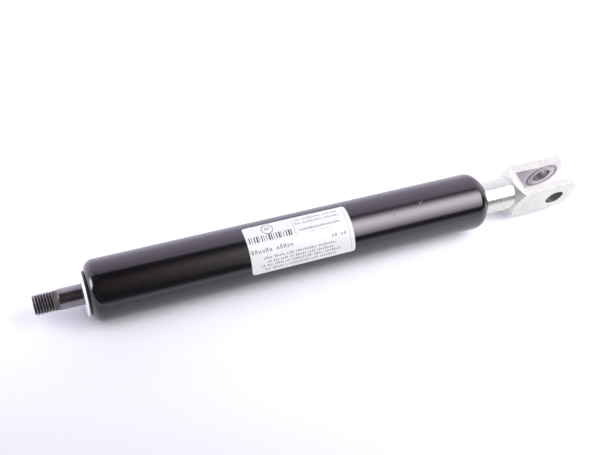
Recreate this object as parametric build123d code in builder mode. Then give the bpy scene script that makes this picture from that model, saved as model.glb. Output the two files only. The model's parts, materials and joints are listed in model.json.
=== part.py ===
from build123d import *

import os
from math import acos, cos, degrees, radians, sin, sqrt

# Pull-type gas strut stay, drawn retracted.  Millimetres.
# The strut's axis is X: the piston rod leaves towards -X, the fork head points to +X.
# The origin is the centre of the fork's cross bore, whose axis is Y.  +Z is up.

# ---------------------------------------------------------------- driving dimensions

# fork head, of the 10 x 20 pattern
BORE_RADIUS = 5.0
FORK_WIDTH = 20.0
SLOT_WIDTH = 10.0
EAR_REACH = 11.7
EAR_END_RADIUS = 17.5
SLOT_DEPTH = 21.0
CONE_FRONT = 22.4
CONE_BACK = 26.0
NECK_RADIUS = 9.0
NECK_LENGTH = 43.5
FORK_CHAMFER = 0.4
BORE_CHAMFER = 0.3
SPOT_INNER_RADIUS = 7.8
SPOT_OUTER_RADIUS = 9.2
SPOT_DEPTH = 0.25

# pressure tube
TUBE_RADIUS = 15.0
TUBE_WALL = 2.0
REAR_RIM = -44.0
FRONT_RIM = -250.6
REAR_SHOULDER = 7.0
FRONT_SHOULDER = 5.5
REAR_RIM_RADIUS = 10.4
FRONT_RIM_RADIUS = 10.5

# piston rod
ROD_RADIUS = 5.0
ROD_STEP = -263.7
THREAD_LENGTH = 9.0
THREAD_CHAMFER = 1.0
RUN_OUT_LENGTH = 2.1
RUN_OUT_RADIUS = 4.6
STROKE = 70.0

# M10 stud and tapped neck, both drawn smooth at the pitch diameter
STUD_PITCH_RADIUS = 4.6
STUD_LENGTH = 18.0

# fits
STATIC_GAP = 0.02
SLIDING_GAP = 0.03
SHELL_GAP = 0.1
STOP_GAP = 0.2

# wire rings and O-rings
WIRE_RADIUS = 0.8
WIRE_CENTRE_RADIUS = 12.95
WIRE_RING_ARC = 340.0
SHELL_SEAL_RADIUS = 0.93
SHELL_SEAL_CENTRE = 12.04
SHELL_GROOVE_WIDTH = 2.6
SHELL_GROOVE_RADIUS = 11.1

# rating label, a film wrapped on the tube
LABEL_START = -175.8
LABEL_END = -122.4
LABEL_FIRST_ANGLE = 63.9
LABEL_ARC = 96.9
LABEL_THICKNESS = 0.12
LABEL_CORNER = 1.5

# ---------------------------------------------------------------- derived stations

HALF_FORK = FORK_WIDTH / 2
HALF_SLOT = SLOT_WIDTH / 2
TUBE_BORE_RADIUS = TUBE_RADIUS - TUBE_WALL
SHELL_FIT_RADIUS = TUBE_BORE_RADIUS - SHELL_GAP

PLUG_FACE = -NECK_LENGTH
PLUG_LENGTH = 18.5
PLUG_GROOVE_INSET = 2.5
PLUG_INNER = PLUG_FACE - PLUG_LENGTH
PLUG_NOSE_RADIUS = REAR_RIM_RADIUS - SHELL_GAP
PLUG_GROOVE_START = PLUG_INNER + PLUG_GROOVE_INSET
VENT_RADIUS = 1.0
FILTER_RADIUS = 3.0
FILTER_DEPTH = 2.5

REAR_BUMPER_LENGTH = 5.0
REAR_BUMPER_INNER = 7.5
REAR_BUMPER_OUTER = 11.5

PISTON_REAR = PLUG_INNER - REAR_BUMPER_LENGTH - STOP_GAP
PISTON_LENGTH = 14.0
PISTON_FRONT = PISTON_REAR - PISTON_LENGTH
PISTON_RADIUS = 12.7
SPIGOT_RADIUS = 3.5
SPIGOT_BORE_RADIUS = SPIGOT_RADIUS + STATIC_GAP
WASHER_THICKNESS = 2.0
WASHER_RADIUS = 9.0
ROD_SHOULDER = PISTON_FRONT - WASHER_THICKNESS
NUT_HEIGHT = 4.0
NUT_FLATS = 11.0
SPIGOT_PROUD = 0.6
SPIGOT_CHAMFER = 0.4
SPIGOT_END = PISTON_REAR + NUT_HEIGHT + SPIGOT_PROUD

WEAR_INSET = 1.5
WEAR_WIDTH = 4.0
WEAR_START = PISTON_FRONT + WEAR_INSET
WEAR_END = WEAR_START + WEAR_WIDTH
WEAR_GROOVE_RADIUS = 11.7
SEAL_INSET = 7.8
SEAL_WIDTH = 3.6
SEAL_START = PISTON_FRONT + SEAL_INSET
SEAL_END = SEAL_START + SEAL_WIDTH
SEAL_GROOVE_RADIUS = 9.9
BORE_SEAL_INSET = 6.3
BORE_SEAL_CENTRE = PISTON_FRONT + BORE_SEAL_INSET
BORE_SEAL_RADIUS = 0.7
BORE_GROOVE_WIDTH = 1.9
BORE_SEAL_RING_RADIUS = SPIGOT_RADIUS + STATIC_GAP + BORE_SEAL_RADIUS
BORE_GROOVE_RADIUS = BORE_SEAL_RING_RADIUS + BORE_SEAL_RADIUS + STATIC_GAP

DISC_RADIUS = 10.6
DISC_THICKNESS = 1.0
DISC_BORE_RADIUS = 5.3
DISC_FRONT = -252.6
GUIDE_FRONT = DISC_FRONT + DISC_THICKNESS
GUIDE_NOSE_RADIUS = FRONT_RIM_RADIUS - SHELL_GAP
WIPER_DEPTH = 4.0
WIPER_RADIUS = 8.0
WEB_THICKNESS = 1.4
WEB_RADIUS = 5.5
BUSH_FRONT = GUIDE_FRONT + WIPER_DEPTH + WEB_THICKNESS
BUSH_LENGTH = 10.0
BUSH_RADIUS = 6.5
SEAL_POCKET_FRONT = BUSH_FRONT + BUSH_LENGTH
SEAL_POCKET_LENGTH = 5.6
SEAL_POCKET_RADIUS = 9.5
BACKUP_THICKNESS = 1.2
SEAL_WASHER_FRONT = SEAL_POCKET_FRONT + SEAL_POCKET_LENGTH
SEAL_WASHER_THICKNESS = 1.6
SEAL_WASHER_RADIUS = 10.5
GUIDE_REAR = SEAL_WASHER_FRONT + SEAL_WASHER_THICKNESS
GUIDE_GROOVE_INSET = 4.7
GUIDE_GROOVE_START = BUSH_FRONT + GUIDE_GROOVE_INSET
RUNNING_RADIUS = ROD_RADIUS + SLIDING_GAP

EXTENSION_BUMPER_LENGTH = 5.0
EXTENSION_BUMPER_FRONT = GUIDE_REAR + STOP_GAP + STROKE
SLEEVE_FRONT = EXTENSION_BUMPER_FRONT + EXTENSION_BUMPER_LENGTH
SLEEVE_INNER = 5.1
SLEEVE_OUTER = 7.5

FRONT_ARC_CENTRE = (
    FRONT_RIM + sqrt(FRONT_SHOULDER**2 - (FRONT_RIM_RADIUS - TUBE_RADIUS + FRONT_SHOULDER) ** 2),
    TUBE_RADIUS - FRONT_SHOULDER,
)
REAR_ARC_CENTRE = (
    REAR_RIM - sqrt(REAR_SHOULDER**2 - (REAR_RIM_RADIUS - TUBE_RADIUS + REAR_SHOULDER) ** 2),
    TUBE_RADIUS - REAR_SHOULDER,
)

os.makedirs("parts", exist_ok=True)


# ---------------------------------------------------------------- profile helpers


def half_section(start, end, inner, outer, mode=Mode.ADD):
    """Rectangle of a half section, between two stations and two radii."""
    with Locations(((start + end) / 2, (inner + outer) / 2)):
        Rectangle(end - start, outer - inner, mode=mode)


def round_section(station, centre_radius, wire_radius, mode=Mode.ADD):
    """Round wire of a half section."""
    with Locations((station, centre_radius)):
        Circle(wire_radius, mode=mode)


def sweep_to_radius(centre, arc_radius, radius):
    """Degrees from straight out to where an arc comes down to a given radius."""
    return degrees(acos((radius - centre[1]) / arc_radius))


def rolled_outline(front_radius, rear_radius, front_limit, rear_limit):
    """Closed half outline, down to the axis, of a tube form with both ends rolled inwards."""
    front_sweep = sweep_to_radius(FRONT_ARC_CENTRE, front_radius, front_limit)
    rear_sweep = sweep_to_radius(REAR_ARC_CENTRE, rear_radius, rear_limit)
    front = CenterArc(FRONT_ARC_CENTRE, front_radius, 90, front_sweep)
    rear = CenterArc(REAR_ARC_CENTRE, rear_radius, 90, -rear_sweep)
    front_end = front @ 1
    rear_end = rear @ 1
    Line(front @ 0, rear @ 0)
    Polyline(front_end, (front_end.X, 0), (rear_end.X, 0), rear_end)


# ---------------------------------------------------------------- tube and label

with BuildPart() as pressure_tube:
    with BuildSketch(Plane.XZ):
        with BuildLine():
            rolled_outline(FRONT_SHOULDER, REAR_SHOULDER, FRONT_RIM_RADIUS, REAR_RIM_RADIUS)
        make_face()
    revolve(axis=Axis.X)
    with BuildSketch(Plane.XZ):
        with BuildLine():
            rolled_outline(
                FRONT_SHOULDER - TUBE_WALL,
                REAR_SHOULDER - TUBE_WALL,
                FRONT_RIM_RADIUS,
                REAR_RIM_RADIUS,
            )
        make_face()
        half_section(FRONT_RIM - 1, FRONT_ARC_CENTRE[0], 0, FRONT_RIM_RADIUS)
        half_section(REAR_ARC_CENTRE[0], REAR_RIM + 1, 0, REAR_RIM_RADIUS)
        round_section(GUIDE_REAR + WIRE_RADIUS, WIRE_CENTRE_RADIUS, WIRE_RADIUS + STATIC_GAP)
        round_section(PLUG_INNER - WIRE_RADIUS, WIRE_CENTRE_RADIUS, WIRE_RADIUS + STATIC_GAP)
    revolve(axis=Axis.X, mode=Mode.SUBTRACT)
pressure_tube.part.label = "pressure_tube"
export_step(pressure_tube.part, "parts/pressure_tube.step")

label_angle = radians(LABEL_FIRST_ANGLE)
label_plane = Plane(origin=(0, 0, 0), x_dir=(1, 0, 0), z_dir=(0, -sin(label_angle), cos(label_angle)))
with BuildPart() as rating_label:
    with BuildSketch(label_plane):
        half_section(LABEL_START, LABEL_END, TUBE_RADIUS, TUBE_RADIUS + LABEL_THICKNESS)
    revolve(axis=Axis.X, revolution_arc=LABEL_ARC)
    film_corners = [edge for edge in rating_label.edges() if edge.length < 2 * LABEL_THICKNESS]
    fillet(film_corners, LABEL_CORNER)
rating_label.part.label = "rating_label"
export_step(rating_label.part, "parts/rating_label.step")

# ---------------------------------------------------------------- fork end

ear_corner = EAR_REACH - EAR_END_RADIUS + sqrt(EAR_END_RADIUS**2 - HALF_FORK**2)
with BuildPart() as fork_head:
    with BuildSketch(Plane.XZ):
        with BuildLine():
            Polyline(
                (ear_corner, HALF_FORK),
                (-CONE_BACK, HALF_FORK),
                (-CONE_BACK, -HALF_FORK),
                (ear_corner, -HALF_FORK),
            )
            ThreePointArc((ear_corner, HALF_FORK), (EAR_REACH, 0), (ear_corner, -HALF_FORK))
        make_face()
    extrude(amount=HALF_FORK, both=True)
    with BuildSketch(Plane.XZ):
        with BuildLine():
            Polyline(
                (-CONE_BACK, 0),
                (-CONE_BACK, NECK_RADIUS),
                (-CONE_FRONT, HALF_FORK * sqrt(2)),
                (EAR_REACH, HALF_FORK * sqrt(2)),
                (EAR_REACH, 0),
                close=True,
            )
        make_face()
    revolve(axis=Axis.X, mode=Mode.INTERSECT)
    with BuildSketch(Plane.XY):
        with Locations((-SLOT_DEPTH, 0)):
            Rectangle(2 * (SLOT_DEPTH + EAR_REACH), SLOT_WIDTH, align=(Align.MIN, Align.CENTER))
    extrude(amount=HALF_FORK, both=True, mode=Mode.SUBTRACT)
    long_edges = fork_head.edges().filter_by(Axis.X)
    chamfer(long_edges, FORK_CHAMFER)
    with BuildSketch(Plane.XZ):
        Circle(BORE_RADIUS)
    extrude(amount=HALF_FORK, both=True, mode=Mode.SUBTRACT)
    bore_edges = fork_head.edges().filter_by(GeomType.CIRCLE)
    chamfer([edge for edge in bore_edges if abs(edge.radius - BORE_RADIUS) < STATIC_GAP], BORE_CHAMFER)
    with BuildSketch(Plane.XZ):
        Circle(SPOT_OUTER_RADIUS)
        Circle(SPOT_INNER_RADIUS, mode=Mode.SUBTRACT)
    extrude(amount=HALF_SLOT + SPOT_DEPTH, both=True, mode=Mode.SUBTRACT)
    with BuildSketch(Plane.XZ):
        half_section(-NECK_LENGTH, -CONE_BACK, 0, NECK_RADIUS)
    revolve(axis=Axis.X)
    with BuildSketch(Plane.XZ):
        half_section(-NECK_LENGTH, -SLOT_DEPTH, 0, STUD_PITCH_RADIUS)
    revolve(axis=Axis.X, mode=Mode.SUBTRACT)
fork_head.part.label = "fork_head"
export_step(fork_head.part, "parts/fork_head.step")

plug_arc = REAR_SHOULDER - TUBE_WALL - SHELL_GAP
with BuildPart() as end_plug:
    with BuildSketch(Plane.XZ):
        with BuildLine():
            shoulder = CenterArc(
                REAR_ARC_CENTRE,
                plug_arc,
                90,
                -sweep_to_radius(REAR_ARC_CENTRE, plug_arc, PLUG_NOSE_RADIUS),
            )
            Polyline(
                shoulder @ 1,
                (PLUG_FACE, PLUG_NOSE_RADIUS),
                (PLUG_FACE, STUD_PITCH_RADIUS - STATIC_GAP),
                (PLUG_FACE + STUD_LENGTH, STUD_PITCH_RADIUS - STATIC_GAP),
                (PLUG_FACE + STUD_LENGTH, VENT_RADIUS),
                (PLUG_INNER + FILTER_DEPTH, VENT_RADIUS),
                (PLUG_INNER + FILTER_DEPTH, FILTER_RADIUS),
                (PLUG_INNER, FILTER_RADIUS),
                (PLUG_INNER, SHELL_FIT_RADIUS),
                shoulder @ 0,
            )
        make_face()
        half_section(
            PLUG_GROOVE_START,
            PLUG_GROOVE_START + SHELL_GROOVE_WIDTH,
            SHELL_GROOVE_RADIUS,
            TUBE_RADIUS,
            mode=Mode.SUBTRACT,
        )
    revolve(axis=Axis.X)
end_plug.part.label = "end_plug"
export_step(end_plug.part, "parts/end_plug.step")

with BuildPart() as plug_o_ring:
    with BuildSketch(Plane.XZ):
        round_section(PLUG_GROOVE_START + SHELL_GROOVE_WIDTH / 2, SHELL_SEAL_CENTRE, SHELL_SEAL_RADIUS)
    revolve(axis=Axis.X)
plug_o_ring.part.label = "plug_o_ring"
export_step(plug_o_ring.part, "parts/plug_o_ring.step")

with BuildPart() as plug_stop_ring:
    with BuildSketch(Plane.XZ):
        round_section(PLUG_INNER - WIRE_RADIUS, WIRE_CENTRE_RADIUS, WIRE_RADIUS)
    revolve(axis=Axis.X, revolution_arc=WIRE_RING_ARC)
plug_stop_ring.part.label = "plug_stop_ring"
export_step(plug_stop_ring.part, "parts/plug_stop_ring.step")

with BuildPart() as vent_filter:
    with BuildSketch(Plane.XZ):
        half_section(PLUG_INNER, PLUG_INNER + FILTER_DEPTH, 0, FILTER_RADIUS - STATIC_GAP)
    revolve(axis=Axis.X)
vent_filter.part.label = "vent_filter"
export_step(vent_filter.part, "parts/vent_filter.step")

with BuildPart() as rear_bumper:
    with BuildSketch(Plane.XZ):
        half_section(PLUG_INNER - REAR_BUMPER_LENGTH, PLUG_INNER, REAR_BUMPER_INNER, REAR_BUMPER_OUTER)
    revolve(axis=Axis.X)
rear_bumper.part.label = "rear_bumper"
export_step(rear_bumper.part, "parts/rear_bumper.step")

# ---------------------------------------------------------------- guide and seal pack

with BuildPart() as cover_disc:
    with BuildSketch(Plane.XZ):
        half_section(DISC_FRONT, GUIDE_FRONT, DISC_BORE_RADIUS, DISC_RADIUS)
    revolve(axis=Axis.X)
cover_disc.part.label = "cover_disc"
export_step(cover_disc.part, "parts/cover_disc.step")

guide_arc = FRONT_SHOULDER - TUBE_WALL - SHELL_GAP
with BuildPart() as guide_housing:
    with BuildSketch(Plane.XZ):
        with BuildLine():
            shoulder = CenterArc(
                FRONT_ARC_CENTRE,
                guide_arc,
                90,
                sweep_to_radius(FRONT_ARC_CENTRE, guide_arc, GUIDE_NOSE_RADIUS),
            )
            Polyline(
                shoulder @ 1,
                (GUIDE_FRONT, GUIDE_NOSE_RADIUS),
                (GUIDE_FRONT, WIPER_RADIUS),
                (GUIDE_FRONT + WIPER_DEPTH, WIPER_RADIUS),
                (GUIDE_FRONT + WIPER_DEPTH, WEB_RADIUS),
                (BUSH_FRONT, WEB_RADIUS),
                (BUSH_FRONT, BUSH_RADIUS),
                (SEAL_POCKET_FRONT, BUSH_RADIUS),
                (SEAL_POCKET_FRONT, SEAL_POCKET_RADIUS),
                (SEAL_WASHER_FRONT, SEAL_POCKET_RADIUS),
                (SEAL_WASHER_FRONT, SEAL_WASHER_RADIUS),
                (GUIDE_REAR, SEAL_WASHER_RADIUS),
                (GUIDE_REAR, SHELL_FIT_RADIUS),
                shoulder @ 0,
            )
        make_face()
        half_section(
            GUIDE_GROOVE_START,
            GUIDE_GROOVE_START + SHELL_GROOVE_WIDTH,
            SHELL_GROOVE_RADIUS,
            TUBE_RADIUS,
            mode=Mode.SUBTRACT,
        )
    revolve(axis=Axis.X)
guide_housing.part.label = "guide_housing"
export_step(guide_housing.part, "parts/guide_housing.step")

# The wiper is an angle ring: a lip at the front and a leg that fills the rest of its seat.
lip_thickness = 0.8
leg_radius = WEB_RADIUS + SLIDING_GAP
with BuildPart() as wiper_ring:
    with BuildSketch(Plane.XZ):
        with BuildLine():
            Polyline(
                (GUIDE_FRONT, RUNNING_RADIUS),
                (GUIDE_FRONT, WIPER_RADIUS - STATIC_GAP),
                (GUIDE_FRONT + WIPER_DEPTH, WIPER_RADIUS - STATIC_GAP),
                (GUIDE_FRONT + WIPER_DEPTH, leg_radius),
                (GUIDE_FRONT + 2 * lip_thickness, leg_radius),
                (GUIDE_FRONT + lip_thickness, RUNNING_RADIUS),
                close=True,
            )
        make_face()
    revolve(axis=Axis.X)
wiper_ring.part.label = "wiper_ring"
export_step(wiper_ring.part, "parts/wiper_ring.step")

with BuildPart() as guide_bush:
    with BuildSketch(Plane.XZ):
        half_section(BUSH_FRONT, SEAL_POCKET_FRONT, RUNNING_RADIUS, BUSH_RADIUS - STATIC_GAP)
    revolve(axis=Axis.X)
guide_bush.part.label = "guide_bush"
export_step(guide_bush.part, "parts/guide_bush.step")

with BuildPart() as seal_backup_ring:
    with BuildSketch(Plane.XZ):
        half_section(
            SEAL_POCKET_FRONT,
            SEAL_POCKET_FRONT + BACKUP_THICKNESS,
            RUNNING_RADIUS,
            SEAL_POCKET_RADIUS - STATIC_GAP,
        )
    revolve(axis=Axis.X)
seal_backup_ring.part.label = "seal_backup_ring"
export_step(seal_backup_ring.part, "parts/seal_backup_ring.step")

# The rod seal is a U-cup: a heel on the backup ring and two lips open to the gas side.
seal_heel = SEAL_POCKET_FRONT + BACKUP_THICKNESS
seal_lips = SEAL_WASHER_FRONT - SHELL_GAP
seal_middle = (RUNNING_RADIUS + SEAL_POCKET_RADIUS) / 2
cup_half_width = 0.9
cup_root = seal_heel + 2.0
with BuildPart() as rod_seal:
    with BuildSketch(Plane.XZ):
        half_section(seal_heel, seal_lips, RUNNING_RADIUS, SEAL_POCKET_RADIUS - STATIC_GAP)
        with BuildLine():
            Polyline(
                (seal_lips, seal_middle - cup_half_width),
                (cup_root, seal_middle),
                (seal_lips, seal_middle + cup_half_width),
                close=True,
            )
        make_face(mode=Mode.SUBTRACT)
    revolve(axis=Axis.X)
rod_seal.part.label = "rod_seal"
export_step(rod_seal.part, "parts/rod_seal.step")

with BuildPart() as seal_washer:
    with BuildSketch(Plane.XZ):
        half_section(SEAL_WASHER_FRONT, GUIDE_REAR, WEB_RADIUS, SEAL_WASHER_RADIUS - STATIC_GAP)
    revolve(axis=Axis.X)
seal_washer.part.label = "seal_washer"
export_step(seal_washer.part, "parts/seal_washer.step")

with BuildPart() as guide_o_ring:
    with BuildSketch(Plane.XZ):
        round_section(GUIDE_GROOVE_START + SHELL_GROOVE_WIDTH / 2, SHELL_SEAL_CENTRE, SHELL_SEAL_RADIUS)
    revolve(axis=Axis.X)
guide_o_ring.part.label = "guide_o_ring"
export_step(guide_o_ring.part, "parts/guide_o_ring.step")

with BuildPart() as guide_stop_ring:
    with BuildSketch(Plane.XZ):
        round_section(GUIDE_REAR + WIRE_RADIUS, WIRE_CENTRE_RADIUS, WIRE_RADIUS)
    revolve(axis=Axis.X, revolution_arc=WIRE_RING_ARC)
guide_stop_ring.part.label = "guide_stop_ring"
export_step(guide_stop_ring.part, "parts/guide_stop_ring.step")

# ---------------------------------------------------------------- rod and piston

thread_end = ROD_STEP - RUN_OUT_LENGTH
rod_tip = thread_end - THREAD_LENGTH
with BuildPart() as piston_rod:
    with BuildSketch(Plane.XZ):
        with BuildLine():
            Polyline(
                (rod_tip, 0),
                (rod_tip, ROD_RADIUS - THREAD_CHAMFER),
                (rod_tip + THREAD_CHAMFER, ROD_RADIUS),
                (thread_end, ROD_RADIUS),
                (thread_end, RUN_OUT_RADIUS),
                (ROD_STEP, RUN_OUT_RADIUS),
                (ROD_STEP, ROD_RADIUS),
                (ROD_SHOULDER, ROD_RADIUS),
                (ROD_SHOULDER, SPIGOT_RADIUS),
                (SPIGOT_END - SPIGOT_CHAMFER, SPIGOT_RADIUS),
                (SPIGOT_END, SPIGOT_RADIUS - SPIGOT_CHAMFER),
                (SPIGOT_END, 0),
                close=True,
            )
        make_face()
    revolve(axis=Axis.X)
piston_rod.part.label = "piston_rod"
export_step(piston_rod.part, "parts/piston_rod.step")

with BuildPart() as stop_sleeve:
    with BuildSketch(Plane.XZ):
        half_section(SLEEVE_FRONT, ROD_SHOULDER, SLEEVE_INNER, SLEEVE_OUTER)
    revolve(axis=Axis.X)
stop_sleeve.part.label = "stop_sleeve"
export_step(stop_sleeve.part, "parts/stop_sleeve.step")

with BuildPart() as extension_bumper:
    with BuildSketch(Plane.XZ):
        half_section(EXTENSION_BUMPER_FRONT, SLEEVE_FRONT, ROD_RADIUS, WASHER_RADIUS)
    revolve(axis=Axis.X)
extension_bumper.part.label = "extension_bumper"
export_step(extension_bumper.part, "parts/extension_bumper.step")

with BuildPart() as piston_washer:
    with BuildSketch(Plane.XZ):
        half_section(ROD_SHOULDER, PISTON_FRONT, SPIGOT_BORE_RADIUS, WASHER_RADIUS)
    revolve(axis=Axis.X)
piston_washer.part.label = "piston_washer"
export_step(piston_washer.part, "parts/piston_washer.step")

with BuildPart() as piston_body:
    with BuildSketch(Plane.XZ):
        half_section(PISTON_FRONT, PISTON_REAR, SPIGOT_BORE_RADIUS, PISTON_RADIUS)
        half_section(WEAR_START, WEAR_END, WEAR_GROOVE_RADIUS, TUBE_RADIUS, mode=Mode.SUBTRACT)
        half_section(SEAL_START, SEAL_END, SEAL_GROOVE_RADIUS, TUBE_RADIUS, mode=Mode.SUBTRACT)
        half_section(
            BORE_SEAL_CENTRE - BORE_GROOVE_WIDTH / 2,
            BORE_SEAL_CENTRE + BORE_GROOVE_WIDTH / 2,
            0,
            BORE_GROOVE_RADIUS,
            mode=Mode.SUBTRACT,
        )
    revolve(axis=Axis.X)
piston_body.part.label = "piston_body"
export_step(piston_body.part, "parts/piston_body.step")

with BuildPart() as piston_bore_o_ring:
    with BuildSketch(Plane.XZ):
        round_section(BORE_SEAL_CENTRE, BORE_SEAL_RING_RADIUS, BORE_SEAL_RADIUS)
    revolve(axis=Axis.X)
piston_bore_o_ring.part.label = "piston_bore_o_ring"
export_step(piston_bore_o_ring.part, "parts/piston_bore_o_ring.step")

with BuildPart() as piston_seal:
    with BuildSketch(Plane.XZ):
        half_section(
            SEAL_START + SLIDING_GAP,
            SEAL_END - SLIDING_GAP,
            SEAL_GROOVE_RADIUS + SLIDING_GAP,
            TUBE_BORE_RADIUS - SLIDING_GAP,
        )
    revolve(axis=Axis.X)
piston_seal.part.label = "piston_seal"
export_step(piston_seal.part, "parts/piston_seal.step")

with BuildPart() as piston_wear_ring:
    with BuildSketch(Plane.XZ):
        half_section(
            WEAR_START + SLIDING_GAP,
            WEAR_END - SLIDING_GAP,
            WEAR_GROOVE_RADIUS + SLIDING_GAP,
            TUBE_BORE_RADIUS - SLIDING_GAP,
        )
    revolve(axis=Axis.X)
piston_wear_ring.part.label = "piston_wear_ring"
export_step(piston_wear_ring.part, "parts/piston_wear_ring.step")

with BuildPart() as piston_nut:
    with BuildSketch(Plane.YZ.offset(PISTON_REAR)):
        RegularPolygon(NUT_FLATS / 2, 6, major_radius=False)
        Circle(SPIGOT_BORE_RADIUS, mode=Mode.SUBTRACT)
    extrude(amount=NUT_HEIGHT)
piston_nut.part.label = "piston_nut"
export_step(piston_nut.part, "parts/piston_nut.step")
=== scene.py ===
import json
from math import acos, ceil, cos, degrees, radians, sin, tan, tau

import bpy
from mathutils import Matrix, Vector


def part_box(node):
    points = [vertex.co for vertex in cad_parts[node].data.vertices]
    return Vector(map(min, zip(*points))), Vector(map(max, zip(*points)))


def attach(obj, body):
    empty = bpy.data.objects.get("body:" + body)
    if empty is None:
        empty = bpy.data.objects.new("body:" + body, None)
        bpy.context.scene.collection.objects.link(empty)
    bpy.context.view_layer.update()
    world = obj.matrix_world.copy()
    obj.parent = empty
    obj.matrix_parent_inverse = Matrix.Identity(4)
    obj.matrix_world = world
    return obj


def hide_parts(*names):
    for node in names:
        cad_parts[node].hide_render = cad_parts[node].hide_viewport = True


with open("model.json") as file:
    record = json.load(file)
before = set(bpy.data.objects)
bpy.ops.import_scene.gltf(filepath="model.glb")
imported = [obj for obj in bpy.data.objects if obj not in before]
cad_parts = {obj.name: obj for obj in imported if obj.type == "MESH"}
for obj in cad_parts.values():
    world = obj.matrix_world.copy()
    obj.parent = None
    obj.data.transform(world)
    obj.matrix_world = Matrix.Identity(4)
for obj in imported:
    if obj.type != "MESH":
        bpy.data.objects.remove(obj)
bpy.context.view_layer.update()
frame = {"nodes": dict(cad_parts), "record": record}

# A pull-type gas strut on a pale studio floor.
# Metres; the strut's axis is X, and the fork's cross bore runs along Y through the origin.

MM = 0.001
NODES = frame["nodes"]

# ------------------------------------------------------------------ sizes read from the frame

tube_low, tube_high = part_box("pressure_tube")
label_low, label_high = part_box("rating_label")
rod_low, rod_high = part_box("piston_rod")
TUBE_RADIUS = tube_high.z
FLOOR_Z = tube_low.z


def mount(name):
    """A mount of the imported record."""
    return next(m for m in frame["record"]["mounts"] if m["name"] == name)


# The fork: its bore, the half width of its slot, the spot-faced ring round the bore with its land and
# groove in painted shade, its cone and neck.
BORE_RADIUS = mount("fork_bore")["dims"]["r_mm"] * MM
SLOT_HALF = 5.0 * MM
SPOT_INNER = 7.8 * MM
SPOT_OUTER = 9.2 * MM
CONE_START = -22.4 * MM
NECK_START = -26.0 * MM

# The rod: an M10 thread at its tip, a rough run-out, the ground length, and a spigot for the piston.
ROD_RADIUS = mount("rod_end")["dims"]["r_mm"] * MM
THREAD_PITCH = 1.25 * MM
THREAD_LENGTH = 9.0 * MM
THREAD_END = rod_low.x + THREAD_LENGTH
THREAD_DEPTH_PER_PITCH = 0.6134
THREAD_DEPTH = THREAD_DEPTH_PER_PITCH * THREAD_PITCH
THREAD_CREST = 1 / 8
THREAD_ROOT = 1 / 4
TIP_CHAMFER = 1.0 * MM
RUN_OUT_LENGTH = 2.1 * MM
RUN_OUT_RADIUS = 4.6 * MM
RUN_OUT_RING = 0.42 * MM
RUN_OUT_GROOVE = 0.06 * MM
RUN_OUT_INSET = 0.3
ROD_STEP = THREAD_END + RUN_OUT_LENGTH
STEP_CHAMFER = 0.25 * MM
SPIGOT_RADIUS = 3.5 * MM
SPIGOT_CHAMFER = 0.4 * MM
ROD_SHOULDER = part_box("piston_washer")[0].x

# ------------------------------------------------------------------ node helpers

# Most of a noise's values lie between these.
NOISE_LOW = 0.3
NOISE_HIGH = 0.7

# Soil lies where a noise of this detail is high, and is at its full strength from this value up.
SOIL_DETAIL = 5.0
SOIL_FULL = 0.8


class Nodes:
    """A node tree, with short ways to add nodes and join them."""

    def __init__(self, tree):
        self.tree = tree

    def add(self, kind, **settings):
        node = self.tree.nodes.new(kind)
        for key, value in settings.items():
            setattr(node, key, value)
        return node

    def link(self, source, target):
        """Joins an output to an input, or sets the input where the source is a plain value."""
        if isinstance(source, bpy.types.NodeSocket):
            self.tree.links.new(source, target)
        else:
            target.default_value = source

    def maths(self, operation, a, b=0.0, c=0.0):
        node = self.add("ShaderNodeMath", operation=operation)
        for socket, value in zip(node.inputs, (a, b, c)):
            self.link(value, socket)
        return node.outputs[0]

    def times(self, a, b):
        return self.maths("MULTIPLY", a, b)

    def times_plus(self, a, b, c):
        """a times b, plus c."""
        return self.maths("MULTIPLY_ADD", a, b, c)

    def spread(self, value, low, high, to_low=0.0, to_high=1.0, smooth=False):
        """A value's range mapped on to another, held at its ends."""
        node = self.add("ShaderNodeMapRange", interpolation_type="SMOOTHSTEP" if smooth else "LINEAR")
        for name, number in (
            ("Value", value),
            ("From Min", low),
            ("From Max", high),
            ("To Min", to_low),
            ("To Max", to_high),
        ):
            self.link(number, node.inputs[name])
        return node.outputs["Result"]

    def below(self, value, low, high, smooth=False):
        """1 where a value is under low, fading to 0 at high."""
        return self.spread(value, low, high, 1.0, 0.0, smooth)

    def mix(self, share, a, b, blend="MIX"):
        """A colour that goes from a to b as share goes from 0 to 1."""
        node = self.add("ShaderNodeMix", data_type="RGBA", blend_type=blend)
        self.link(share, node.inputs[0])
        self.link(a, node.inputs[6])
        self.link(b, node.inputs[7])
        return node.outputs[2]

    def parts(self, vector):
        """A vector's X, Y and Z."""
        node = self.add("ShaderNodeSeparateXYZ")
        self.link(vector, node.inputs[0])
        return tuple(node.outputs)


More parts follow.
